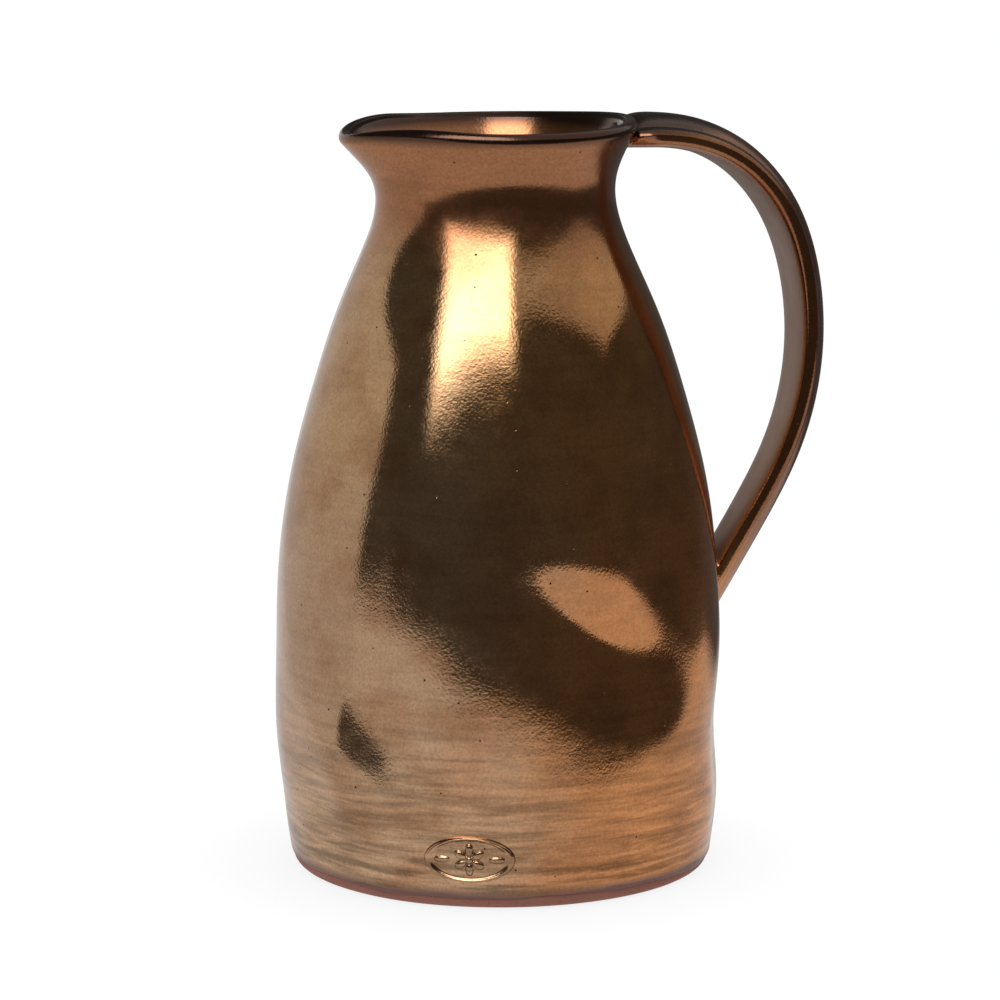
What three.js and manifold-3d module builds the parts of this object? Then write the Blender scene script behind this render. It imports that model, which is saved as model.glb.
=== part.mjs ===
// A hand-made water jug of red earthenware under a metallic lustre glaze, about 25 cm tall.
//
// The pot is built up as a potter builds it. A round slab is the floor and the wall stands on it. A pulled
// strap is the handle, luted on at the lip and at the belly with two flared collars of soft clay. A small
// oval seal sits low on the front. Three coats of glaze lie over the clay: one outside from just above the
// foot to the lip, one inside from the lip to the floor, and one round the strap. The foot stays bare.
//
// Frame: millimetres, +Z up, origin at the centre of the foot's flat underside. The handle points to +X
// and the spout to -X. The front, with the seal and the deepest hollows left by the hand, faces -Y.

import * as THREE from 'three';
import { mergeVertices } from 'three/addons/utils/BufferGeometryUtils.js';
import Module from 'manifold-3d';

const wasm = await Module();
wasm.setup();

// Driving dimensions
const FOOT_RADIUS = 67; // flat that the jug stands on
const GLAZE_LINE = 4; // height of the bare clay foot
const SLAB_TOP = 8; // thickness of the floor slab
const WALL = 6.8; // wall with both glazes, at the belly
const LIP = 5; // wall with both glazes, at the lip
const GLAZE = 0.6; // one coat
const GAP = 0.3; // clearance between two pieces that touch
const CLAY = GLAZE + GAP; // depth of the clay under the glazed surface
const POOL = 4; // radius of the glaze pooled in the inside corner
const AROUND = 36; // facets round the pot

// The outside of the pot from the glaze line to the lip, as radius and height
const OUTLINE = new THREE.SplineCurve([
  [71.5, GLAZE_LINE],
  [73.7, 20],
  [74.6, 46],
  [75.2, 76],
  [73.9, 106],
  [69.7, 135],
  [61.7, 165],
  [53.0, 190],
  [45.6, 207],
  [40.8, 220],
  [39.9, 233],
  [46.5, 247.5],
].map(([radius, height]) => new THREE.Vector2(radius, height)));
const OUTLINE_STEPS = 17;

// What the hand did to the pot. A hollow is an oval press, or a swelling where its depth is negative. It has
// its middle's bearing and height, its half width and half height in millimetres, and the tilt of its width.
const HOLLOWS = [
  { bearing: -76, height: 88, wide: 40, tall: 15, tilt: -32, depth: 4.4 },
  { bearing: -131, height: 58, wide: 13, tall: 39, tilt: -29, depth: 0.7 },
  { bearing: -21, height: 33, wide: 10, tall: 23, tilt: -6, depth: 1.3 },
  { bearing: -68, height: 80, wide: 36, tall: 44, tilt: -7, depth: 4.1 },
  { bearing: -48, height: 116, wide: 25, tall: 44, tilt: -11, depth: 4.8 },
  { bearing: -62, height: 137, wide: 33, tall: 35, tilt: -39, depth: 4.8 },
  { bearing: -140, height: 122, wide: 29, tall: 47, tilt: 21, depth: 1.6 },
  { bearing: -54, height: 55, wide: 38, tall: 18, tilt: 21, depth: -1.5 },
  { bearing: -106, height: 137, wide: 21, tall: 35, tilt: 14, depth: -1.4 },
  { bearing: -144, height: 40, wide: 14, tall: 27, tilt: 35, depth: -4.2 },
];
const BELLY = 74; // radius that turns a bearing into a distance round the wall
const SWAY = { belly: -1.8, shoulder: 0.9, neck: -0.5 }; // sideways drift of the wall as it rises
const SPOUT = { bearing: 180, pull: 6.8, wide: 28, from: 215, drop: 2.5 };
const RIM_TOP = 250;
const RIM_FROM = 225; // height where the waves of the rim begin

// The handle: the middle line of the strap, as distance from the axis and height, and its width along it
const STRAP_LINE = new THREE.CatmullRomCurve3([
  [39.5, 246.4],
  [61, 245.1],
  [80.7, 237],
  [96.6, 219.5],
  [105.3, 193],
  [105.9, 166],
  [98.8, 138.5],
  [86.2, 114.5],
  [60, 71],
].map(([out, height]) => new THREE.Vector3(out, 0, height)));
const STRAP_WIDTH = new THREE.SplineCurve(
  [39, 38, 34.5, 30, 26, 23.6, 21.4, 20, 20].map((width, i) => new THREE.Vector2(width, i)),
);
const STRAP_THICK = [8.4, 7.4]; // at its edges, on the lip and from half way down
const CROWN = [2.9, 4.1]; // rise of the strap's outside in the middle, from the lip to the belly
const STRAP_STEPS = 20;
const STRAP_FACETS = 16;
const UPPER_FLARE = 3.5; // how far a collar stands out from the strap where it meets the pot
const LOWER_FLARE = 1;
const COLLAR_SKIN = 0.5; // and at its thin end
// Shares of the strap's line, 0 on the lip and 1 inside the belly
const STRAP_FROM = 0.012;
const UPPER_COLLAR_END = 0.09;
const LOWER_COLLAR_START = 0.897;
const LOWER_COLLAR_ROOT = 0.937;

// The seal
const SEAL = { bearing: -113, height: 17.5, half_width: 15, half_height: 8 };
const SEAL_PAD = 0.9;
const SEAL_RELIEF = 0.9;

const smooth = (value, low, high) => THREE.MathUtils.smoothstep(value, low, high);
const hump = (value, width) => Math.exp(-((value / width) ** 2));
const degrees = THREE.MathUtils.radToDeg;
const radians = THREE.MathUtils.degToRad;

// The turn from one bearing to another, -180 to 180 degrees.
function turn(from, to) {
  return THREE.MathUtils.euclideanModulo(to - from + 180, 360) - 180;
}

// How much the hand lifts the rim at a bearing: up at the handle and beside the spout, down at its tip.
function rimLift(bearing) {
  const fromSpout = Math.abs(turn(SPOUT.bearing, bearing));
  const fromHandle = turn(0, bearing);
  const shoulders = hump(fromSpout - 44, 20) - SPOUT.drop * hump(fromSpout, 17);
  return 1.9 * hump(fromHandle, 42) + shoulders - 0.5;
}

// How deep one hollow is at a place on the wall.
function hollowAt(hollow, bearing, height) {
  const along = radians(turn(hollow.bearing, bearing)) * BELLY;
  const up = height - hollow.height;
  const [cos, sin] = [Math.cos(radians(hollow.tilt)), Math.sin(radians(hollow.tilt))];
  return hollow.depth * hump(along * cos + up * sin, hollow.wide) * hump(up * cos - along * sin, hollow.tall);
}

// Moves a point of the true round pot to where the hand left it. Walls and coats move together.
function handMade(point) {
  const radius = Math.hypot(point.x, point.y);
  const bearing = degrees(Math.atan2(point.y, point.x));
  const inWall = Math.min(1, radius / 30);
  let outward = 0;
  for (const hollow of HOLLOWS) outward -= hollowAt(hollow, bearing, point.z);
  const spoutRise = Math.max(0, (point.z - SPOUT.from) / (RIM_TOP - SPOUT.from)) ** 1.6;
  const fromSpout = turn(SPOUT.bearing, bearing);
  outward += SPOUT.pull * spoutRise * hump(fromSpout, SPOUT.wide);
  const grow = 1 + (outward * inWall) / Math.max(radius, 1);
  const lift = rimLift(bearing) * smooth(point.z, RIM_FROM, RIM_TOP) * inWall;
  const sway = SWAY.belly * smooth(point.z, 20, 50) + SWAY.shoulder * smooth(point.z, 50, 84) +
    SWAY.neck * smooth(point.z, 150, 215);
  return point.set(point.x * grow + sway, point.y * grow, point.z + lift);
}

function eachVertex(geometry, move) {
  const position = geometry.getAttribute('position');
  const point = new THREE.Vector3();
  for (let i = 0; i < position.count; i++) {
    move(point.fromBufferAttribute(position, i));
    position.setXYZ(i, point.x, point.y, point.z);
  }
  return geometry;
}

// A three.js geometry as a manifold-3d solid, and back.
function solid(geometry) {
  const bare = geometry.clone();
  for (const name of ['normal', 'uv']) bare.deleteAttribute(name);
  const merged = mergeVertices(bare, 1e-4);
  return new wasm.Manifold(new wasm.Mesh({
    numProp: 3,
    vertProperties: merged.getAttribute('position').array,
    triVerts: new Uint32Array(merged.index.array),
  }));
}

function geometryOf(shape) {
  const mesh = shape.getMesh();
  const geometry = new THREE.BufferGeometry();
  geometry.setAttribute('position', new THREE.BufferAttribute(new Float32Array(mesh.vertProperties), 3));
  geometry.setIndex(new THREE.BufferAttribute(new Uint32Array(mesh.triVerts), 1));
  geometry.computeVertexNormals();
  return geometry;
}

// The outline, moved out by a distance along its normal. depthAt gives the distance at each height.
function line(depthAt, steps = OUTLINE_STEPS) {
  const points = [];
  for (let i = 0; i <= steps; i++) {
    const at = OUTLINE.getPoint(i / steps);
    const along = OUTLINE.getTangent(i / steps);
    const depth = depthAt(at.y);
    points.push(new THREE.Vector2(at.x - along.y * depth, at.y + along.x * depth));
  }
  return points;
}

const thickness = (height) => THREE.MathUtils.lerp(WALL, LIP, smooth(height, 185, 245));

// The rounded lip between the outside and the inside, at a depth under the glazed surface.
function lipArc(depth, from, to, steps = 4) {
  const end = OUTLINE.getPoint(1);
  const along = OUTLINE.getTangent(1);
  const start = Math.atan2(-along.x, along.y);
  const centre = new THREE.Vector2(end.x - (along.y * LIP) / 2, end.y + (along.x * LIP) / 2);
  const points = [];
  for (let i = 0; i <= steps; i++) {
    const angle = start + Math.PI * THREE.MathUtils.lerp(from, to, i / steps);
    const reach = LIP / 2 - depth;
    points.push(new THREE.Vector2(centre.x + reach * Math.cos(angle), centre.y + reach * Math.sin(angle)));
  }
  return points;
}

// Turns a closed profile, or one that starts and ends on the axis, round the pot's axis. Its facets follow
// the way the profile runs, so a coat's back runs the same way as the clay it lies on.
function turned(profile) {
  const geometry = new THREE.LatheGeometry(profile, AROUND).rotateX(Math.PI / 2);
  if (THREE.ShapeUtils.area(profile) < 0) geometry.index.array.reverse();
  return geometry;
}

const thrown = (profile) => eachVertex(turned(profile), handMade);
const closed = (profile) => [...profile, profile[0].clone()];
const point = (radius, height) => new THREE.Vector2(radius, height);

// The pot as one filled form, to cut other pieces to its surface. Depth is how far inside the glaze it ends.
function potForm(depth) {
  const side = line(() => depth);
  const lip = lipArc(depth, 0, 0.5).slice(1);
  return solid(thrown([point(0, 0), point(side[0].x, 0), ...side, ...lip, point(0, RIM_TOP)]));
}

const radiusAt = (height, depth) => line(() => depth, 400).find((p) => p.y >= height).x;

// A round of clay with a flat underside, a rolled edge that stays bare and a top that the wall stands on.
function floorSlab() {
  const edge = line(() => CLAY, 200).filter((p) => p.y <= SLAB_TOP);
  const rolled = [];
  for (let i = 0; i <= 4; i++) {
    const angle = -Math.PI / 2 + (Math.PI / 2) * (i / 4);
    const reach = edge[0].x - FOOT_RADIUS;
    rolled.push(point(FOOT_RADIUS + reach * Math.cos(angle), GLAZE_LINE * (1 + Math.sin(angle))));
  }
  const top = edge[edge.length - 1];
  return thrown([point(0, 0), ...rolled, top, point(0, top.y)]);
}

// The clay wall, from the slab to the rounded lip.
function bodyWall() {
  const bottom = SLAB_TOP + GAP;
  const outside = line(() => CLAY).filter((p) => p.y > bottom + 2);
  const inside = line((height) => thickness(height) - CLAY).filter((p) => p.y > bottom + 2).reverse();
  const foot = [
    point(radiusAt(bottom, thickness(bottom) - CLAY), bottom),
    point(radiusAt(bottom, CLAY + 0.15), bottom),
  ];
  return thrown(closed([...foot, ...outside, ...lipArc(CLAY, 0, 1).slice(1, -1), ...inside]));
}

// The outside coat, from the glaze line to the middle of the lip.
function outerCoat() {
  const side = (depth) => [...line(() => depth), ...lipArc(depth, 0, 0.48, 2).slice(1)];
  return solid(thrown(closed([...side(GLAZE), ...side(0).reverse()])));
}

// The inside coat, from the middle of the lip down the wall and across the floor, pooled in the corner.
function innerCoat() {
  const underside = SLAB_TOP + GAP;
  const top = underside + GLAZE;
  const corner = [];
  const centre = point(radiusAt(top + POOL, WALL) - POOL, top + POOL);
  for (let i = 0; i <= 3; i++) {
    const angle = (Math.PI / 2) * (1 - i / 3);
    corner.push(point(centre.x + POOL * Math.cos(angle), centre.y - POOL * Math.sin(angle)));
  }
  const rim = (depth) => lipArc(depth, 0.52, 1, 2).slice(0, -1);
  const skin = [...corner, ...line(thickness).filter((p) => p.y > top + POOL), ...rim(0).reverse()];
  const side = line((height) => thickness(height) - GLAZE).filter((p) => p.y > underside + 2);
  const back = [...rim(GLAZE), ...side.reverse(), point(radiusAt(underside, WALL - GLAZE + 0.15), underside)];
  return solid(thrown([point(0, top), ...skin, ...back, point(0, underside)]));
}

// The strap's section: a rounded bar with a flat inside and a crown along its outside between two grooves.
// Turn goes round it, share is the way along the strap and spread how far the surface is moved out.
function strapSection(angle, share, spread) {
  const width = STRAP_WIDTH.getPoint(share).x;
  const thick = THREE.MathUtils.lerp(...STRAP_THICK, smooth(share, 0.1, 0.5));
  const side = Math.sin(angle);
  const soften = (value) => Math.sign(value) * Math.abs(value) ** (side > 0 ? 0.6 : 0.42);
  const across = soften(Math.cos(angle));
  let out = (thick / 2) * soften(side);
  if (side > 0) {
    const crown = THREE.MathUtils.lerp(...CROWN, share);
    const groove = 0.35 * side * hump(Math.abs(across) - 0.74, 0.1);
    out += crown * Math.max(0, 1 - (across / 0.72) ** 2) ** 1.2 - groove;
  }
  return [across * (width / 2) + spread * Math.cos(angle), out + spread * side];
}

// A solid swept along the strap's line from one share of it to another. spreadAt grows its section.
function strapSweep(from, to, spreadAt, steps) {
  const bar = new THREE.CylinderGeometry(1, 1, 1, STRAP_FACETS, steps);
  const facet = (2 * Math.PI) / STRAP_FACETS;
  return solid(eachVertex(bar, (p) => {
    const share = THREE.MathUtils.lerp(from, to, 0.5 + p.y);
    const angle = facet * Math.round(Math.atan2(p.x, p.z) / facet);
    const middle = STRAP_LINE.getPoint(share);
    const along = STRAP_LINE.getTangent(share);
    const reach = Math.hypot(p.x, p.z);
    const [across, out] = strapSection(angle, share, spreadAt(share, angle));
    p.set(middle.x - along.z * out * reach, across * reach, middle.z + along.x * out * reach);
  }));
}

// How far a collar stands out from the strap. It flares towards the pot, at the lip only below and beside.
function upperFlare(share, angle) {
  const below = smooth(-Math.sin(angle), -0.9, 0.1);
  const near = Math.max(0, 1 - share / UPPER_COLLAR_END);
  return COLLAR_SKIN * (0.5 + below / 2) + UPPER_FLARE * below * near ** 2;
}

function lowerFlare(share) {
  const near = (share - LOWER_COLLAR_START) / (LOWER_COLLAR_ROOT - LOWER_COLLAR_START);
  return COLLAR_SKIN + LOWER_FLARE * THREE.MathUtils.clamp(near, 0, 1.3) ** 2;
}

// The strap, its coat and the two collars, and the form that opens the pot's coats for them.
function handlePieces() {
  const pot = potForm(GLAZE);
  const wider = (flare) => (share, angle) => flare(share, angle) + GAP;
  const upperForm = strapSweep(0.0015, UPPER_COLLAR_END, upperFlare, 7);
  const lowerForm = strapSweep(LOWER_COLLAR_START, 1, lowerFlare, 8);
  const sleeve = (from, to, spread) => strapSweep(from, to, () => spread, STRAP_STEPS);
  const core = sleeve(STRAP_FROM, 1, -CLAY);
  const socket = sleeve(STRAP_FROM - 0.002, 1, -GLAZE);
  const coat = sleeve(UPPER_COLLAR_END + 0.0015, LOWER_COLLAR_START - 0.0015, 0);
  return {
    core: core.subtract(pot),
    coat: coat.subtract(socket),
    upper: upperForm.subtract(socket).subtract(pot),
    lower: lowerForm.subtract(socket).subtract(pot),
    opening: strapSweep(0, UPPER_COLLAR_END, wider(upperFlare), 7)
      .add(strapSweep(LOWER_COLLAR_START, 1, wider(lowerFlare), 8)),
  };
}

const lobe = (x, y, width, tall, tilt) =>
  solid(new THREE.CylinderGeometry(1, 1, 40, 12).rotateX(Math.PI / 2)
    .scale(width, tall, 1).rotateZ(radians(tilt)).translate(x, y, 0));

// An oval seal: a thin pad with a raised border, a rosette of six petals and a leaf on either side of it.
function seal() {
  const { half_width: wide, half_height: tall } = SEAL;
  const oval = (inset) => lobe(0, 0, wide - inset, tall - inset, 0);
  let relief = oval(0).subtract(oval(1.5));
  for (let i = 0; i < 6; i++) {
    const tilt = 30 + 60 * i;
    relief = relief.add(lobe(3.3 * Math.cos(radians(tilt)), 3.3 * Math.sin(radians(tilt)), 2.1, 1.35, tilt));
  }
  for (const side of [-1, 1]) relief = relief.add(lobe(side * 9, 0, 2.6, 1.1, 0));
  const facing = new THREE.Matrix4().makeRotationZ(radians(SEAL.bearing + 90))
    .multiply(new THREE.Matrix4().makeRotationX(Math.PI / 2));
  facing.setPosition(
    BELLY * Math.cos(radians(SEAL.bearing)),
    BELLY * Math.sin(radians(SEAL.bearing)),
    SEAL.height,
  );
  const placed = (shape) => solid(geometryOf(shape).applyMatrix4(facing));
  const pad = placed(oval(0)).intersect(potForm(-GAP - SEAL_PAD));
  const raised = placed(relief).intersect(potForm(-GAP - SEAL_PAD - SEAL_RELIEF));
  return pad.add(raised).subtract(potForm(-GAP));
}

const clay = new THREE.MeshStandardMaterial({ color: 0x8f5443, roughness: 0.85, metalness: 0 });
const lustre = new THREE.MeshStandardMaterial({ color: 0xa8703f, roughness: 0.22, metalness: 0.95 });
const liner = new THREE.MeshStandardMaterial({ color: 0x7d5333, roughness: 0.25, metalness: 0.9 });

const jug = new THREE.Group();
function place(name, geometry, material) {
  const mesh = new THREE.Mesh(geometry, material);
  mesh.name = name;
  jug.add(mesh);
}

const handle = handlePieces();
place('floor_slab', floorSlab(), clay);
place('body_wall', bodyWall(), clay);
place('handle_strap', geometryOf(handle.core), clay);
place('upper_collar', geometryOf(handle.upper), lustre);
place('lower_collar', geometryOf(handle.lower), lustre);
place('outer_glaze', geometryOf(outerCoat().subtract(handle.opening)), lustre);
place('inner_glaze', geometryOf(innerCoat().subtract(handle.opening)), liner);
place('handle_glaze', geometryOf(handle.coat), lustre);
place('makers_seal', geometryOf(seal()), lustre);

export default jug;
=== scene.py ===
# A hand-made water jug of red earthenware under a metallic lustre glaze, standing on a white table.
#
# The pieces are made as a potter makes them: profiles are turned round the axis, then every one of
# them is pressed and pulled by the same hand, so the coats of glaze keep lying on the clay.
# Shapes are worked out in millimetres and scaled to metres when a piece is finished.
import math

import bmesh
import bpy
import numpy as np
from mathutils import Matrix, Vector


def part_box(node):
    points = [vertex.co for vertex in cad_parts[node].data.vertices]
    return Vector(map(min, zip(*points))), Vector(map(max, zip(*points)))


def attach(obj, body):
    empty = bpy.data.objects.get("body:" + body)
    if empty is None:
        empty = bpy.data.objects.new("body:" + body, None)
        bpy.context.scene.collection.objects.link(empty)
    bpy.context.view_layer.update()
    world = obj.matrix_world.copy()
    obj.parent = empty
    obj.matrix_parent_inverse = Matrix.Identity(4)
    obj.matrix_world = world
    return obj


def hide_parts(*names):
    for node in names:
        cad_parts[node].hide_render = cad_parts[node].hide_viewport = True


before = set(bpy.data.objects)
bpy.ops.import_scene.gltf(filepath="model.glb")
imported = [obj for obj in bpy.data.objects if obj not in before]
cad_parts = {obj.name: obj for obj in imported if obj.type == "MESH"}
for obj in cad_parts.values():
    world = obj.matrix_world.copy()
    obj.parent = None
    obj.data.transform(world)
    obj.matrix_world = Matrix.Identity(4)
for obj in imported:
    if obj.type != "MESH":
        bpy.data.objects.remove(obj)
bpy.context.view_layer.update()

MM = 0.001
TAU = 2 * math.pi


def in_mm(node):
    """The lowest and highest corner of a CAD node, in millimetres."""
    low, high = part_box(node)
    return low / MM, high / MM


# Driving heights, from the frame
SLAB_TOP = in_mm("floor_slab")[1].z
GLAZE_LINE = in_mm("outer_glaze")[0].z
LINER_UNDER = in_mm("inner_glaze")[0].z

# The wall
FOOT_RADIUS = 67
WALL = 6.8  # thickness with both glazes, at the belly
LIP = 5  # and at the lip
GLAZE = 0.6  # one coat
GAP = 0.3  # between the clay and a coat, and between the slab and the wall
POOL = 4  # radius of the glaze pooled in the inside corner
RIM_TOP = 250
COAT_ENDS = 236  # height inside the neck where the outer coat meets the liner
SEAM = 0.05  # between the two coats there

# The outside of the pot up to the lip's round, as radius and height
OUTLINE = [
    (71.5, 4), (73.7, 20), (74.6, 46), (75.2, 76), (73.9, 106), (69.7, 135),
    (61.7, 165), (53.0, 190), (45.6, 207), (40.8, 220), (39.9, 233), (46.5, 247.5),
]

# Hollows left by the hands: bearing, height, half width, half height, tilt in degrees and depth
HOLLOWS = [
    (-76, 88, 40, 15, -32, 4.4),
    (-131, 58, 13, 39, -29, 0.7),
    (-21, 33, 10, 23, -6, 1.3),
    (-68, 80, 36, 44, -7, 4.1),
    (-48, 116, 25, 44, -11, 4.8),
    (-62, 137, 33, 35, -39, 4.8),
    (-140, 122, 29, 47, 21, 1.6),
    (-54, 55, 38, 18, 21, -1.5),
    (-106, 137, 21, 35, 14, -1.4),
    (-144, 40, 14, 27, 35, -4.2),
]
BELLY = 74  # radius that turns a bearing into a distance round the wall
STILL = 30  # radius of the middle of the floor, where the hands move less and less
SWAY = (-1.8, 0.9, -0.5)  # sideways drift of the wall at the belly, shoulder and neck
RIM_FROM = 225  # height from which the rim is lifted or pulled down
HANDLE_LIFT, HANDLE_WIDE = 1.9, 42  # rise of the rim under the strap, and over which bearings
SHOULDER_AT, SHOULDER_WIDE = 44, 20  # small rises of the rim on either side of the spout
SPOUT_BEARING = 180
SPOUT_PULL = 6.8
SPOUT_WIDE = 28
SPOUT_FROM = 215  # height from which the neck is pulled out
SPOUT_DROP, SPOUT_TIP = 2.5, 17  # fall of the rim at the spout's tip, and over which bearings

# The handle's middle line on its way from inside the lip to the belly: distance from the axis and height,
# and there the strap's width, its thickness at the edges and the rise of its crown
STRAP = [
    (36.6, 237.5, 22, 1.6, 0.2),
    (38.6, 243.0, 29, 4.6, 1.0),
    (44.8, 246.0, 38.5, 7.9, 2.3),
    (52.0, 246.2, 39.0, 8.4, 2.8),
    (61.0, 245.1, 38.0, 8.4, 3.0),
    (80.7, 237.0, 34.5, 8.2, 3.2),
    (96.6, 219.5, 30.0, 7.9, 3.4),
    (105.3, 193.0, 26.0, 7.6, 3.6),
    (105.9, 166.0, 23.6, 7.4, 3.7),
    (98.8, 138.5, 21.4, 7.4, 3.9),
    (86.2, 114.5, 20.0, 7.4, 4.1),
    (73.0, 92.5, 20.0, 7.4, 4.1),
    (66.0, 81.0, 20.0, 7.4, 4.1),
]
GROOVE_AT, GROOVE_WIDE = 0.76, 0.13  # place and width of the strap's grooves, in half widths of it
GROOVE_DEEP = 0.5
SUNK = 0.15  # how far under the pot's skin the handle's skin lands
FILLET_TOP = 4.5  # rounding of the corner between the strap and the neck
FILLET_BELLY = 2.4  # and between the strap and the belly
TONGUE = (9, 11.5)  # distances along the strap between which its tongue leaves the lip

# The seal's middle, and half its width and height
SEAL_BEARING = -113
SEAL_HEIGHT = 17.5
SEAL_HALF = (15, 8)


# ---- numbers ----

def smooth(value, low, high):
    """0 below low, 1 above high, with a soft start and stop."""
    share = np.clip((value - low) / (high - low), 0, 1)
    return share * share * (3 - 2 * share)


def hump(value, width):
    """1 at 0, falling softly away on both sides."""
    return np.exp(-((value / width) ** 2))


def turn(start, end):
    """The turn from one bearing to another, -180 to 180 degrees."""
    return (end - start + 180) % 360 - 180


class Curve:
    """A line through knots (at, value) that bends evenly, as a thin steel spline does."""

    def __init__(self, at, values):
        self.at = np.array(at, float)
        self.values = np.array(values, float)
        gap = np.diff(self.at)
        slope = np.diff(self.values) / gap
        rows = np.eye(len(self.at))
        right = np.zeros(len(self.at))
        for i in range(1, len(self.at) - 1):
            rows[i, i - 1:i + 2] = gap[i - 1], 2 * (gap[i - 1] + gap[i]), gap[i]
            right[i] = 6 * (slope[i] - slope[i - 1])
        self.bend = np.linalg.solve(rows, right)

    def __call__(self, at):
        at = np.asarray(at, float)
        i = np.clip(np.searchsorted(self.at, at) - 1, 0, len(self.at) - 2)
        gap = self.at[i + 1] - self.at[i]
        left = (self.at[i + 1] - at) / gap
        right = 1 - left
        bent = (left ** 3 - left) * self.bend[i] + (right ** 3 - right) * self.bend[i + 1]
        return left * self.values[i] + right * self.values[i + 1] + bent * gap ** 2 / 6


radius_at = Curve([height for radius, height in OUTLINE], [radius for radius, height in OUTLINE])
OUTLINE_TOP = OUTLINE[-1][1]
INSIDE_TOP = OUTLINE_TOP + 0.6  # where the lip's round meets the inside of the wall


def thickness(height):
    """The wall's thickness with both glazes at a height."""
    return WALL + (LIP - WALL) * smooth(height, 185, 245)


# ---- the hand ----

def hollow(bearing, height, middle, middle_height, wide, tall, tilt, depth):
    """How deep one hollow is at a place on the wall. A hollow of negative depth is a bulge."""
    along = np.radians(turn(middle, bearing)) * BELLY
    up = height - middle_height
    cos, sin = math.cos(math.radians(tilt)), math.sin(math.radians(tilt))
    return depth * hump(along * cos + up * sin, wide) * hump(up * cos - along * sin, tall)


def rim_lift(bearing):
    """How much the rim is lifted: up at the handle and beside the spout, down at its tip."""
    from_spout = np.abs(turn(SPOUT_BEARING, bearing))
    at_spout = hump(from_spout - SHOULDER_AT, SHOULDER_WIDE) - SPOUT_DROP * hump(from_spout, SPOUT_TIP)
    return HANDLE_LIFT * hump(turn(0, bearing), HANDLE_WIDE) + at_spout - 0.5


def unevenness(bearing, height):
    """The slow waves that fingers leave in a wall built by hand."""
    around = np.radians(bearing)
    waves = np.sin(5 * around + height / 19 + 1.3) + np.sin(8 * around - height / 13)
    return 0.06 * waves + 0.05 * np.sin(3 * around + height / 8.5)


def sway(height):
    """How far the wall has drifted to +X at a height."""
    belly, shoulder, neck = SWAY
    return (belly * smooth(height, 20, 50) + shoulder * smooth(height, 50, 84)
            + neck * smooth(height, 150, 215))


def hand_made(points):
    """Moves points of the true round pot to where the hands left them."""
    x, y, z = points.T
    radius = np.hypot(x, y)
    bearing = np.degrees(np.arctan2(y, x))
    in_wall = np.minimum(1, radius / STILL)
    outward = unevenness(bearing, z) * smooth(z, 6, 24)
    for place in HOLLOWS:
        outward = outward - hollow(bearing, z, *place)
    rise = np.maximum(0, (z - SPOUT_FROM) / (RIM_TOP - SPOUT_FROM)) ** 1.6
    outward = outward + SPOUT_PULL * rise * hump(turn(SPOUT_BEARING, bearing), SPOUT_WIDE)
    grow = 1 + outward * in_wall / np.maximum(radius, 1)
    lift = rim_lift(bearing) * smooth(z, RIM_FROM, RIM_TOP) * in_wall
    return np.stack([x * grow + sway(z), y * grow, z + lift], axis=1)


# ---- making and finishing pieces ----

def piece_from(name, form):
    """Turns a bmesh in millimetres into an object in metres with smooth faces."""
    bmesh.ops.recalc_face_normals(form, faces=form.faces)
    bmesh.ops.scale(form, vec=(MM, MM, MM), verts=form.verts)
    mesh = bpy.data.meshes.new(name)
    form.to_mesh(mesh)
    form.free()
    mesh.shade_smooth()
    piece = bpy.data.objects.new(name, mesh)
    bpy.context.scene.collection.objects.link(piece)
    return piece


def reshape(form, move):
    """Moves every vertex of a bmesh by a function of all their places."""
    places = move(np.array([vert.co for vert in form.verts]))
    for vert, place in zip(form.verts, places):
        vert.co = place


def turned(profile, steps, closed=True):
    """A profile of (radius, height) points spun round the axis. A closed one makes a ring."""
    form = bmesh.new()
    verts = [form.verts.new((radius, 0, height)) for radius, height in profile]
    pairs = list(zip(verts, verts[1:]))
    if closed:
        pairs.append((verts[-1], verts[0]))
    edges = [form.edges.new(pair) for pair in pairs]
    bmesh.ops.spin(form, geom=verts + edges, cent=(0, 0, 0), axis=(0, 0, 1), angle=TAU,
                   steps=steps, use_merge=True)
    bmesh.ops.remove_doubles(form, verts=form.verts, dist=0.0005)
    return form


def side(depth_at, low, high, steps):
    """The wall's profile at a depth under its outside, from one height to another."""
    heights = np.linspace(low, high, steps + 1)
    slope = (radius_at(heights + 0.05) - radius_at(heights - 0.05)) / 0.1
    long = np.hypot(slope, 1)
    depth = np.array([depth_at(height) for height in heights])
    return list(zip(radius_at(heights) - depth / long, heights + depth * slope / long))


def lip_round(depth, start, end, steps):
    """The rounded lip at a depth under its skin. Shares run from 0 outside to 1 inside."""
    slope = float(radius_at(OUTLINE_TOP) - radius_at(OUTLINE_TOP - 0.1)) / 0.1
    long = math.hypot(slope, 1)
    centre_radius = float(radius_at(OUTLINE_TOP)) - LIP / 2 / long
    centre_height = OUTLINE_TOP + LIP / 2 * slope / long
    first = math.atan2(-slope, 1)
    points = []
    for i in range(steps + 1):
        angle = first + math.pi * (start + (end - start) * i / steps)
        reach = LIP / 2 - depth
        points.append((centre_radius + reach * math.cos(angle), centre_height + reach * math.sin(angle)))
    return points


def arc(centre, radius, start, end, steps):
    """Points on an arc, with its angles in degrees."""
    angles = np.radians(np.linspace(start, end, steps + 1))
    return [(centre[0] + radius * math.cos(a), centre[1] + radius * math.sin(a)) for a in angles]


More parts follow.
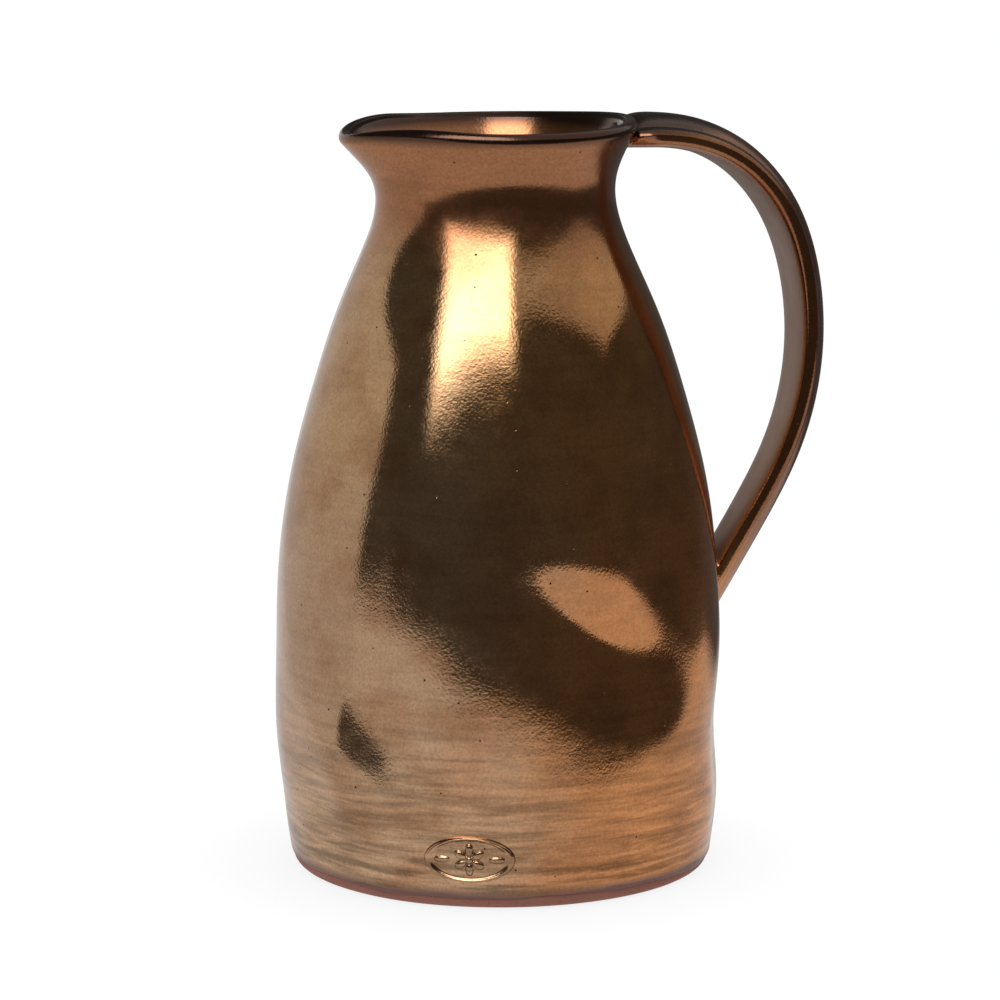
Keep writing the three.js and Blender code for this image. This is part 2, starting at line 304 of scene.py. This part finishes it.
def outer_coat():
    """The coat outside, over the lip and a little way down inside, with a rolled lower edge."""
    base = float(radius_at(GLAZE_LINE + GLAZE))
    roll = arc((base - GLAZE, GLAZE_LINE + GLAZE), GLAZE, -90, -15, 4)
    outside = side(lambda height: 0, GLAZE_LINE + GLAZE, OUTLINE_TOP, 165)
    inside = side(thickness, COAT_ENDS, INSIDE_TOP, 9)[::-1]
    inside_back = side(lambda height: thickness(height) - GLAZE, COAT_ENDS, INSIDE_TOP, 4)
    outside_back = side(lambda height: GLAZE, GLAZE_LINE + GLAZE, OUTLINE_TOP, 40)[::-1]
    skin = roll + outside + lip_round(0, 0, 1, 16)[1:-1] + inside
    back = inside_back + lip_round(GLAZE, 1, 0, 8)[1:-1] + outside_back
    form = turned(skin + back, 240)

    def settle(points):
        """The coat's lower edge wanders where the brush stopped."""
        around = np.arctan2(points[:, 1], points[:, 0])
        wander = np.sin(4 * around + 1) + 0.6 * np.sin(11 * around) + 0.3 * np.sin(23 * around + 2)
        points[:, 2] += 0.35 * wander * (1 - smooth(points[:, 2], GLAZE_LINE, GLAZE_LINE + 7))
        return hand_made(points)

    reshape(form, settle)
    return piece_from("lustre_coat", form)


def liner():
    """The coat inside, from where the outer coat ends down to the floor, pooled in the corner."""
    top = LINER_UNDER + GLAZE
    corner = (float(radius_at(top + POOL)) - WALL - POOL, top + POOL)
    floor = [(radius, top) for radius in np.linspace(0, corner[0], 24)]
    wall = side(thickness, top + POOL + 1, COAT_ENDS - SEAM, 120)
    back = side(lambda height: thickness(height) - GLAZE, LINER_UNDER + 1, COAT_ENDS - SEAM, 40)[::-1]
    profile = floor + arc(corner, POOL, -90, 0, 8)[1:] + wall + back + [(0, LINER_UNDER)]
    form = turned(profile, 128, closed=False)

    def throw(points):
        """Fingers leave rings on the inside of a wall as it is drawn up."""
        apart, deep = 8.5, 0.18
        radius = np.hypot(points[:, 0], points[:, 1])
        ring = deep * np.sin(points[:, 2] * TAU / apart) * smooth(points[:, 2], 16, 30)
        grow = 1 + ring * (1 - smooth(points[:, 2], 200, 225)) / np.maximum(radius, 1)
        points[:, 0] *= grow
        points[:, 1] *= grow
        return hand_made(points)

    reshape(form, throw)
    return piece_from("lustre_liner", form)


def clay_wall():
    """The clay between the two coats, from the slab to the lip."""
    bottom = SLAB_TOP + GAP
    outside = side(lambda height: GLAZE + GAP, bottom, OUTLINE_TOP, 60)
    inside = side(lambda height: thickness(height) - GLAZE - GAP, bottom, INSIDE_TOP, 60)[::-1]
    form = turned(outside + lip_round(GLAZE + GAP, 0, 1, 8)[1:-1] + inside, 96)
    reshape(form, hand_made)
    return piece_from("clay_wall", form)


def clay_foot():
    """The slab of bare clay that the jug stands on, with a rolled edge and a wire-cut underside."""
    edge = float(radius_at(GLAZE_LINE)) - GLAZE
    across = edge - FOOT_RADIUS
    roll = [(radius, GLAZE_LINE * (1 + (height - GLAZE_LINE) / across))
            for radius, height in arc((FOOT_RADIUS, GLAZE_LINE), across, -90, 0, 8)]
    under = [(radius, 0) for radius in np.linspace(0, FOOT_RADIUS, 68)[:-1]]
    top = [(float(radius_at(SLAB_TOP)) - GLAZE - GAP, SLAB_TOP), (0, SLAB_TOP)]
    form = turned(under + roll + top, 192, closed=False)

    def wire_cut(points):
        """The wire leaves bowed furrows as it is pulled through under the pot."""
        x, y, z = points.T
        apart, deep = 5.2, 0.45
        from_hand = np.hypot(x + 150, y - 40)
        furrow = 0.5 + 0.5 * np.sin(from_hand * TAU / apart + 0.6 * np.sin(y / 9))
        rubbed_flat = smooth(np.hypot(x, y), FOOT_RADIUS - 12, FOOT_RADIUS - 5)
        cut = deep * furrow ** 3 * (1 - rubbed_flat) * (z < 1)
        return hand_made(np.stack([x, y, z + cut], axis=1))

    reshape(form, wire_cut)
    return piece_from("clay_foot", form)


# ---- the handle ----

def strap_curves():
    """The handle's length, and curves for its place, width, thickness and crown along it."""
    table = np.array(STRAP, float)
    steps = np.hypot(np.diff(table[:, 0]), np.diff(table[:, 1]))
    at = np.concatenate([[0], np.cumsum(steps)])
    return at[-1], [Curve(at, column) for column in table.T]


STRAP_LONG, (strap_out, strap_up, strap_width, strap_thick, strap_crown) = strap_curves()


def wall_line():
    """Points along the middle of the wall and half its thickness there, for distances to the pot."""
    middle = side(lambda height: thickness(height) / 2, 50, OUTLINE_TOP, 260)
    half = [thickness(height) / 2 for radius, height in middle]
    return np.array(middle), np.array(half)


WALL_LINE, WALL_HALF = wall_line()


def off_the_pot(points):
    """How far points near the handle are from the pot's surface, less than 0 inside its wall."""
    x, y, z = points.T
    bearing = np.degrees(np.arctan2(y, x))
    z = z - rim_lift(bearing) * smooth(z, RIM_FROM, RIM_TOP)
    outward = np.hypot(x - sway(z), y) - unevenness(bearing, z)
    for place in HOLLOWS:
        outward = outward + hollow(bearing, z, *place)
    out = outward[:, None] - WALL_LINE[:, 0]
    up = z[:, None] - WALL_LINE[:, 1]
    return (np.hypot(out, up) - WALL_HALF).min(axis=1)


def strap_section(angle, at, spread):
    """The strap's section: a flat inside, rounded edges, and a crown between two grooves outside.

    Angles run round the section from its edge at +Y, and are positive outside. Where the skin spreads
    into the pot, it spreads sideways and inwards, and only a quarter as far outwards."""
    outwards = np.sin(angle)
    outside = outwards > 0
    power = np.where(outside, 0.74, 0.6)
    across = np.sign(np.cos(angle)) * np.abs(np.cos(angle)) ** power
    out = strap_thick(at) / 2 * np.sign(outwards) * np.abs(outwards) ** power
    crown = np.maximum(0, 1 - (across / 0.82) ** 2) ** 2
    groove = GROOVE_DEEP * hump(np.abs(across) - GROOVE_AT, GROOVE_WIDE) * np.maximum(outwards, 0)
    out = out + np.where(outside, strap_crown(at) * crown - groove * smooth(at, 4, 14), 0)
    raised = np.where(outside, 0.25, 1) * outwards
    return across * strap_width(at) / 2 + spread * np.cos(angle), out + spread * raised


def on_strap(angle, at, spread):
    """Points of the strap's skin, at an angle round it and a distance along it."""
    tiny = 0.05
    along_x = (strap_out(at + tiny) - strap_out(at - tiny)) / (2 * tiny)
    along_z = (strap_up(at + tiny) - strap_up(at - tiny)) / (2 * tiny)
    long = np.hypot(along_x, along_z)
    across, out = strap_section(angle, at, spread)
    return np.stack([strap_out(at) - along_z / long * out, across, strap_up(at) + along_x / long * out],
                    axis=1)


def fillet(angle, at):
    """How far the strap's skin swells to run smoothly into the pot, where the luting was wiped round."""
    near_top = at < STRAP_LONG / 2
    round_off = np.where(near_top, FILLET_TOP, FILLET_BELLY)
    off_the_crown = smooth(-np.sin(angle), -0.97, -0.55)
    share = np.where(near_top, off_the_crown * smooth(at, *TONGUE), 1)
    low = np.zeros(len(at))
    high = round_off.copy()
    for step in range(9):
        middle = (low + high) / 2
        gap = np.clip(off_the_pot(on_strap(angle, at, middle)) + SUNK, -round_off, round_off)
        inside = np.hypot(round_off - middle, round_off - gap) > round_off
        low = np.where(inside, middle, low)
        high = np.where(inside, high, middle)
    clear = off_the_pot(on_strap(angle, at, low * 0)) >= round_off
    return np.where(clear, 0, low) * share


def strap_sleeve(name, around, along, start, shrink, flared):
    """A closed tube along the strap, its skin shrunk into the clay or flared where it meets the pot.

    The attribute inner_face is 1 on the side that faces the pot, where the hand goes."""
    form = bmesh.new()
    bmesh.ops.create_cone(form, cap_ends=True, segments=around, radius1=1, radius2=1, depth=1)
    lengthwise = [edge for edge in form.edges if abs(edge.verts[0].co.z - edge.verts[1].co.z) > 0.5]
    bmesh.ops.subdivide_edges(form, edges=lengthwise, cuts=along - 1, use_grid_fill=True)

    def bend(points):
        angle = np.arctan2(points[:, 1], points[:, 0])
        at = start + (STRAP_LONG - start) * (points[:, 2] + 0.5)
        if not flared:
            return on_strap(angle, at, np.zeros(len(at)) - shrink)
        skin = on_strap(angle, at, fillet(angle, at))
        # Under the lip the wall leans away, so the toe of the wiped corner is laid back against it
        laid_back = smooth(at, 18, 13) * smooth(-np.sin(angle), -0.1, 0.4)
        for step in range(3):
            hanging = np.maximum(0, off_the_pot(skin) + SUNK) * laid_back
            skin[:, :2] *= 1 - (hanging / np.hypot(skin[:, 0], skin[:, 1]))[:, None]
        return skin

    around_it = [math.atan2(vert.co.y, vert.co.x) for vert in form.verts]
    reshape(form, bend)
    piece = piece_from(name, form)
    inner = piece.data.attributes.new("inner_face", "FLOAT", "POINT")
    inner.data.foreach_set("value", [smooth(-math.sin(angle), 0.35, 0.8) for angle in around_it])
    return piece


# ---- the seal ----

def lobe(x, y, middle, tilt, long, wide, tall):
    """Height of a rounded lobe pressed in the seal, pointing along its tilt."""
    cos, sin = math.cos(math.radians(tilt)), math.sin(math.radians(tilt))
    along = (x - middle[0]) * cos + (y - middle[1]) * sin
    off = (y - middle[1]) * cos - (x - middle[0]) * sin
    return tall * np.sqrt(np.maximum(1 - (along / long) ** 2 - (off / wide) ** 2, 0))


def seal_relief(x, y):
    """Height of the pressed seal over the wall: an oval pad with a border, a rosette and two leaves."""
    wide, tall = SEAL_HALF
    ring = np.hypot(x / wide, y / tall)
    border = 0.9 * hump(ring - 0.9, 0.07)
    relief = lobe(x, y, (0, 0), 0, 1.3, 1.3, 1.3)
    for petal in range(6):
        tilt = 30 + 60 * petal
        middle = (3.3 * math.cos(math.radians(tilt)), 3.3 * math.sin(math.radians(tilt)))
        relief = np.maximum(relief, lobe(x, y, middle, tilt, 2.1, 1.35, 1.0))
    for leaf in (-9.0, 9.0):
        relief = np.maximum(relief, lobe(x, y, (leaf, 0), 0, 2.6, 1.1, 0.8))
    edge = smooth(ring, 0.96, 1.06)
    return 0.45 + border + relief - 1.5 * edge


def seal():
    """The seal, pressed low on the front and glazed over with the wall."""
    wide, tall = SEAL_HALF
    form = bmesh.new()
    bmesh.ops.create_grid(form, x_segments=150, y_segments=84, size=1)
    bmesh.ops.scale(form, vec=(wide * 1.08, tall * 1.1, 1), verts=form.verts)
    outline = [vert for vert in form.verts if math.hypot(vert.co.x / wide, vert.co.y / tall) > 1.08]
    bmesh.ops.delete(form, geom=outline, context="VERTS")
    bmesh.ops.solidify(form, geom=form.faces, thickness=0.5)
    top = max(vert.co.z for vert in form.verts)

    def press_on(points):
        x, y, deep = points[:, 0], points[:, 1], points[:, 2] - top
        height = SEAL_HEIGHT + y
        radius = radius_at(height) + seal_relief(x, y) + deep * 2
        bearing = np.radians(SEAL_BEARING) + x / radius_at(height)
        return hand_made(np.stack([radius * np.cos(bearing), radius * np.sin(bearing), height], axis=1))

    reshape(form, press_on)
    return piece_from("seal_relief", form)


# ---- materials ----

def linear(hex_colour):
    """A hex sRGB colour as the linear RGBA that a shader takes."""
    parts = [int(hex_colour[i:i + 2], 16) / 255 for i in (1, 3, 5)]
    return [part / 12.92 if part <= 0.04045 else ((part + 0.055) / 1.055) ** 2.4 for part in parts] + [1]


def add(tree, kind, inputs=None, **settings):
    """Adds a node with its settings, links its inputs or gives them values, and returns its outputs."""
    node = tree.nodes.new("ShaderNode" + kind)
    for name, value in settings.items():
        setattr(node, name, value)
    live = [socket for socket in node.inputs if socket.enabled]
    for name, value in (inputs or {}).items():
        socket = live[name] if isinstance(name, int) else next(s for s in live if s.name == name)
        if isinstance(value, bpy.types.NodeSocket):
            tree.links.new(value, socket)
        else:
            socket.default_value = value
    live_out = [socket for socket in node.outputs if socket.enabled]
    return live_out[0] if len(live_out) == 1 else node.outputs


def new_material(name):
    material = bpy.data.materials.new(name)
    material.use_nodes = True
    material.node_tree.nodes.clear()
    return material, material.node_tree


def finished(material, surface):
    add(material.node_tree, "OutputMaterial", {"Surface": surface})
    return material


def grain_per_mm(size):
    """The noise scale, in metres, whose clouds are about a size in millimetres."""
    return 1 / (size * MM)


def lustre_finish(name, warm, pale, neck, roughness):
    """Copper lustre: an earthenware glaze brushed on and fired in smoke, which draws a skin of metal.

    It gives the eye soft, clouded reflections in copper and bronze, a fine dry grain, level brush
    strokes towards the foot, pinholes, a darker neck, a dark reflection painted on the strap and the
    wall's right edge, and a dark reflection painted in brown on the lip."""
    material, tree = new_material(name)
    place = add(tree, "TexCoord")["Object"]
    x, y, z = add(tree, "SeparateXYZ", {"Vector": place})

    # Pale bronze on the spout's side, where the metal is thin, and warm copper towards the handle
    cloud = add(tree, "TexNoise", {"Vector": place, "Scale": grain_per_mm(45), "Detail": 4.0})["Fac"]
    drift = add(tree, "Math", {0: cloud, 1: 0.09}, operation="MULTIPLY")
    from_left = add(tree, "Math", {0: x, 1: drift}, operation="ADD")
    paleness = add(tree, "MapRange", {"Value": from_left, "From Min": 0.06, "From Max": 0.005})
    colour = add(tree, "Mix", {"Factor": paleness, "A": linear(warm), "B": linear(pale)},
                 data_type="RGBA")

    # The metal is most golden round the shoulder and goes to dark red on the neck
    ragged = add(tree, "Math", {0: cloud, 1: 0.03, 2: z}, operation="MULTIPLY_ADD")
    golden = add(tree, "MapRange", {"Value": ragged, "From Min": 0.125, "From Max": 0.175,
                                    "To Max": 0.3})
    colour = add(tree, "Mix", {"Factor": golden, "A": colour, "B": linear("#d0a468")}, data_type="RGBA")
    on_the_neck = add(tree, "MapRange", {"Value": ragged, "From Min": 0.218, "From Max": 0.238})
    colour = add(tree, "Mix", {"Factor": on_the_neck, "A": colour, "B": linear(neck)}, data_type="RGBA")

    # The metal skin is thicker in some clouds, about 2 cm across, than in others
    clouds = add(tree, "TexNoise", {"Vector": place, "Scale": grain_per_mm(20), "Detail": 6.0})["Fac"]
    thicker = add(tree, "MapRange", {"Value": clouds, "From Min": 0.45, "From Max": 0.65, "To Max": 0.55})
    colour = add(tree, "Mix", {"Factor": thicker, "A": colour, "B": linear("#a3704e")}, data_type="RGBA")

    # Painted reflection: the strap and the wall's right edge are painted darker, for the dark
    # surroundings they reflect
    painted_dark_right_side = add(tree, "MapRange", {"Value": x, "From Min": 0.07, "From Max": 0.09})
    colour = add(tree, "Mix", {"Factor": painted_dark_right_side, "A": colour, "B": linear("#946243")}, data_type="RGBA")

    # Brush strokes lie level round the wall, a few millimetres apart, strongest low down
    stretched = add(tree, "Mapping", {"Vector": place, "Scale": (0.09, 0.09, 1.0)})
    stroke = add(tree, "TexNoise", {"Vector": stretched, "Scale": grain_per_mm(2.6), "Detail": 5.0,
                                    "Roughness": 0.6, "Distortion": 0.4})["Fac"]
    low = add(tree, "MapRange", {"Value": z, "From Min": 0.075, "From Max": 0.012})
    strength = add(tree, "Math", {0: low, 1: 0.75, 2: 0.12}, operation="MULTIPLY_ADD")
    strokes = add(tree, "MapRange", {"Value": stroke, "From Min": 0.38, "From Max": 0.62,
                                     "To Min": 0.5, "To Max": 1.3})
    colour = add(tree, "Mix", {"Factor": strength, "A": colour, "B": strokes},
                 data_type="RGBA", blend_type="MULTIPLY")

    # The dry grain of the metal skin is finer than 0.3 mm; it is drawn near 0.9 mm so that it shows
    grain = add(tree, "TexNoise", {"Vector": place, "Scale": grain_per_mm(0.9), "Detail": 2.0})["Fac"]
    mottle = add(tree, "TexNoise", {"Vector": place, "Scale": grain_per_mm(7), "Detail": 4.0,
                                    "Roughness": 0.65})["Fac"]
    speckle = add(tree, "MapRange", {"Value": grain, "From Min": 0.3, "From Max": 0.7,
                                     "To Min": 0.84, "To Max": 1.12})
    colour = add(tree, "Mix", {"Factor": 1.0, "A": colour, "B": speckle},
                 data_type="RGBA", blend_type="MULTIPLY")

    # Pinholes, about 0.6 mm across and 6 mm apart, where gas broke through
    cells = add(tree, "TexVoronoi", {"Vector": place, "Scale": grain_per_mm(6)})
    hole = add(tree, "MapRange", {"Value": cells["Distance"], "From Min": 0.04, "From Max": 0.07,
                                  "To Min": 1.0, "To Max": 0.0})
    chosen = add(tree, "SeparateColor", {"Color": cells["Color"]})["Red"]
    open_hole = add(tree, "Math", {0: chosen, 1: 0.55}, operation="GREATER_THAN")
    pinhole = add(tree, "Math", {0: hole, 1: open_hole}, operation="MULTIPLY")
    colour = add(tree, "Mix", {"Factor": pinhole, "A": colour, "B": linear("#2a1710")},
                 data_type="RGBA")

    # The lip is painted dark brown, a painted reflection of the dark room its round turns to; the glaze
    # goes purple-grey where it ends above the foot
    lip = add(tree, "MapRange", {"Value": z, "From Min": 0.2455, "From Max": 0.2485})
    colour = add(tree, "Mix", {"Factor": lip, "A": colour, "B": linear("#5a4136")}, data_type="RGBA")
    wander = add(tree, "Math", {0: stroke, 1: -0.006, 2: z}, operation="MULTIPLY_ADD")
    edge = add(tree, "MapRange", {"Value": wander, "From Min": 0.0045, "From Max": 0.0015})
    colour = add(tree, "Mix", {"Factor": edge, "A": colour, "B": linear("#7d6058")}, data_type="RGBA")

    # On the inside of the strap the glaze is thin and dull
    thin = add(tree, "Attribute", attribute_name="inner_face")["Fac"]
    colour = add(tree, "Mix", {"Factor": thin, "A": colour, "B": linear("#7d5c44")}, data_type="RGBA")

    rough = add(tree, "MapRange", {"Value": mottle, "From Min": 0.35, "From Max": 0.65,
                                   "To Min": roughness - 0.03, "To Max": roughness + 0.05})
    rough = add(tree, "Math", {0: low, 1: 0.09, 2: rough}, operation="MULTIPLY_ADD")
    rough = add(tree, "Math", {0: on_the_neck, 1: 0.1, 2: rough}, operation="MULTIPLY_ADD")
    rough = add(tree, "Math", {0: edge, 1: 0.2, 2: rough}, operation="MULTIPLY_ADD")
    rough = add(tree, "Math", {0: thin, 1: 0.35, 2: rough}, operation="MULTIPLY_ADD")

    skin = add(tree, "Math", {0: grain, 1: 3.5}, operation="MULTIPLY")
    skin = add(tree, "Math", {0: mottle, 1: 4.0, 2: skin}, operation="MULTIPLY_ADD")
    skin = add(tree, "Math", {0: pinhole, 1: -6.0, 2: skin}, operation="MULTIPLY_ADD")
    bristle = add(tree, "Math", {0: low, 1: stroke}, operation="MULTIPLY")
    skin = add(tree, "Math", {0: bristle, 1: 3.0, 2: skin}, operation="MULTIPLY_ADD")
    bump = add(tree, "Bump", {"Height": skin, "Strength": 1.0, "Distance": 0.01 * MM})
    metal = add(tree, "MapRange", {"Value": thin, "To Min": 1.0, "To Max": 0.2})
    surface = add(tree, "BsdfPrincipled", {"Base Color": colour, "Metallic": metal, "Roughness": rough,
                                           "Normal": bump})
    return finished(material, surface)


def bare_clay():
    """Red earthenware, turned and fired without glaze: matt and chalky, with grog showing in it."""
    material, tree = new_material("red_earthenware")
    place = add(tree, "TexCoord")["Object"]
    body = add(tree, "TexNoise", {"Vector": place, "Scale": grain_per_mm(14), "Detail": 5.0})["Fac"]
    grog = add(tree, "TexVoronoi", {"Vector": place, "Scale": grain_per_mm(1.6)})["Distance"]
    colour = add(tree, "Mix", {"Factor": body, "A": linear("#8d5748"), "B": linear("#a87060")},
                 data_type="RGBA")
    specks = add(tree, "MapRange", {"Value": grog, "From Min": 0.1, "From Max": 0.3,
                                    "To Min": 0.72, "To Max": 1.0})
    colour = add(tree, "Mix", {"Factor": 1.0, "A": colour, "B": specks},
                 data_type="RGBA", blend_type="MULTIPLY")
    bump = add(tree, "Bump", {"Height": grog, "Strength": 0.5, "Distance": 0.15 * MM})
    surface = add(tree, "BsdfPrincipled", {"Base Color": colour, "Roughness": 0.82, "IOR": 1.5,
                                           "Normal": bump})
    return finished(material, surface)


# ---- the table, the lights and the camera ----

def card(name, corners, strength, fade=0):
    """A flat glowing card with its corners in metres. It lights and is reflected but isn't seen.

    Its glow fades out over a share of its width and height, as a softbox's cloth does."""
    form = bmesh.new()
    bmesh.ops.create_grid(form, x_segments=24, y_segments=24, size=0.5)
    low_left, low_right, high_right, high_left = np.array(corners, float)
    flat = np.array([vert.co for vert in form.verts])
    u, v = flat[:, :1] + 0.5, flat[:, 1:2] + 0.5
    low, high = low_left * (1 - u) + low_right * u, high_left * (1 - u) + high_right * u
    reshape(form, lambda points: low * (1 - v) + high * v)
    mesh = bpy.data.meshes.new(name)
    form.to_mesh(mesh)
    form.free()
    edge = np.minimum(np.minimum(u, 1 - u), np.minimum(v, 1 - v))[:, 0]
    shares = smooth(edge, 0, fade) if fade else np.ones(len(edge))
    mesh.attributes.new("glow", "FLOAT", "POINT").data.foreach_set("value", shares)
    material, tree = new_material(name + "_glow")
    share = add(tree, "Attribute", attribute_name="glow")["Fac"]
    bright = add(tree, "Math", {0: share, 1: strength}, operation="MULTIPLY")
    glow = add(tree, "Emission", {"Strength": bright})
    mesh.materials.append(finished(material, glow))
    plate = bpy.data.objects.new(name, mesh)
    bpy.context.scene.collection.objects.link(plate)
    plate.visible_camera = False
    plate.visible_shadow = False
    return plate


def towards(azimuth, elevation, distance):
    """A place seen from the jug's shoulder. Azimuth 0 is straight in front, along -Y."""
    around, up = math.radians(azimuth), math.radians(elevation)
    return (distance * math.cos(up) * math.sin(around), -distance * math.cos(up) * math.cos(around),
            distance * math.sin(up) + 0.15)


def table_top():
    """A white table whose front edge is a forearm's length before the jug, unlit far on the right."""
    front, far, wide = -0.403, 3.0, 3.0
    slant = 0.11 * wide
    top = -0.0001
    table = card("table", [(-wide, front - slant, top), (wide, front + slant, top), (wide, far, top),
                           (-wide, far, top)], 1.0)
    table.visible_camera = True
    tree = table.data.materials[0].node_tree
    tree.nodes.clear()
    # Painted light: the table glows instead of being lit. To the camera it is white, with a contact
    # shadow painted near the jug from ambient occlusion; in reflections it glows dimmer and is painted
    # dark far on the right and in the back right corner.
    seen = add(tree, "LightPath")["Is Camera Ray"]
    near = add(tree, "AmbientOcclusion", {"Distance": 0.05}, samples=8)["AO"]
    shade = add(tree, "MapRange", {"Value": near, "To Min": 0.84, "To Max": 1.02})
    x, y, z = add(tree, "SeparateXYZ", {"Vector": add(tree, "TexCoord")["Object"]})
    right = add(tree, "MapRange", {"Value": x, "From Min": 0.15, "From Max": 0.3})
    behind = add(tree, "MapRange", {"Value": y, "From Min": 0.1, "From Max": 0.22})
    corner = add(tree, "Math", {0: right, 1: behind}, operation="MULTIPLY")
    far_right = add(tree, "MapRange", {"Value": x, "From Min": 0.6, "From Max": 0.9})
    unlit = add(tree, "Math", {0: corner, 1: far_right}, operation="MAXIMUM")
    lit = add(tree, "MapRange", {"Value": unlit, "To Min": 0.7, "To Max": 0.1})
    strength = add(tree, "Mix", {"Factor": seen, "A": lit, "B": shade}, data_type="FLOAT")
    add(tree, "OutputMaterial", {"Surface": add(tree, "Emission", {"Strength": strength})})
    return table


def studio():
    """White card on the left, a softbox high on the left, a scrim overhead and white paper behind."""
    front, back = (-0.318, -0.035), (-0.146, 1.3)
    card("left_card", [(*front, 0), (*front, 0.272), (*back, 0.74), (*back, 0)], 0.6)
    card("softbox", [towards(-66, 14, 1.2), towards(5, 28, 1.2), towards(5, 80, 1.2),
                     towards(-66, 80, 1.2)], 4.6, fade=0.2)
    card("scrim", [(0.02, -0.634, 0.648), (1.6, -0.634, 0.648), (1.6, 1.2, 0.648),
                   (0.02, 0.3, 0.648)], 0.5)
    card("paper_behind", [(-3, 2.9, 0), (0.35, 2.9, 0), (0.35, 2.9, 0.9), (-3, 2.9, 0.9)], 0.85)


def room():
    """White to the eye behind the jug; a dim room to everything it reflects."""
    world = bpy.data.worlds.new("room")
    bpy.context.scene.world = world
    world.use_nodes = True
    tree = world.node_tree
    tree.nodes.clear()
    seen = add(tree, "LightPath")["Is Camera Ray"]
    colour = add(tree, "Mix", {"Factor": seen, "A": linear("#4e4d49"), "B": (1.02, 1.02, 1.02, 1)},
                 data_type="RGBA")
    add(tree, "OutputWorld", {"Surface": add(tree, "Background", {"Color": colour})})


def camera():
    """A little above the rim, 1.4 m off, turned 15 degrees to the spout's side."""
    bearing, distance, height = math.radians(-15), 1.4146, 0.3737
    pitch, yaw = math.radians(10.035), 0.000235
    lens = bpy.data.cameras.new("camera")
    lens.sensor_width = 36
    lens.lens = 153.23
    lens.clip_end = 20
    eye = bpy.data.objects.new("camera", lens)
    eye.location = (distance * math.sin(bearing), -distance * math.cos(bearing), height)
    eye.rotation_euler = (math.pi / 2 - pitch, 0, bearing + yaw)
    bpy.context.scene.collection.objects.link(eye)
    bpy.context.scene.camera = eye


# ---- the jug ----

copper = lustre_finish("copper_lustre", "#cf8e5d", "#c09b7a", "#a87350", 0.085)
inside = lustre_finish("copper_lustre_inside", "#c0905f", "#b89a78", "#cfa57a", 0.2)
clay = bare_clay()

strap_core = strap_sleeve("strap_core", 48, 120, start=3, shrink=GLAZE + GAP, flared=False)
handle_coat = strap_sleeve("handle_coat", 168, 360, start=0, shrink=0, flared=True)

for piece, finish, slot, nodes in (
    (clay_foot(), clay, "bare_clay", ["floor_slab"]),
    (clay_wall(), clay, "bare_clay", ["body_wall"]),
    (strap_core, clay, "bare_clay", ["handle_strap"]),
    (outer_coat(), copper, "lustre_glaze", ["outer_glaze"]),
    (handle_coat, copper, "lustre_glaze", ["handle_glaze", "upper_collar", "lower_collar"]),
    (liner(), inside, "inner_glaze", ["inner_glaze"]),
    (seal(), copper, "lustre_glaze", ["makers_seal"]),
):
    piece.data.materials.append(finish)
    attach(piece, "root")
    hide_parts(*nodes)

table_top()
studio()
room()
camera()
bpy.context.scene.view_settings.view_transform = "Standard"
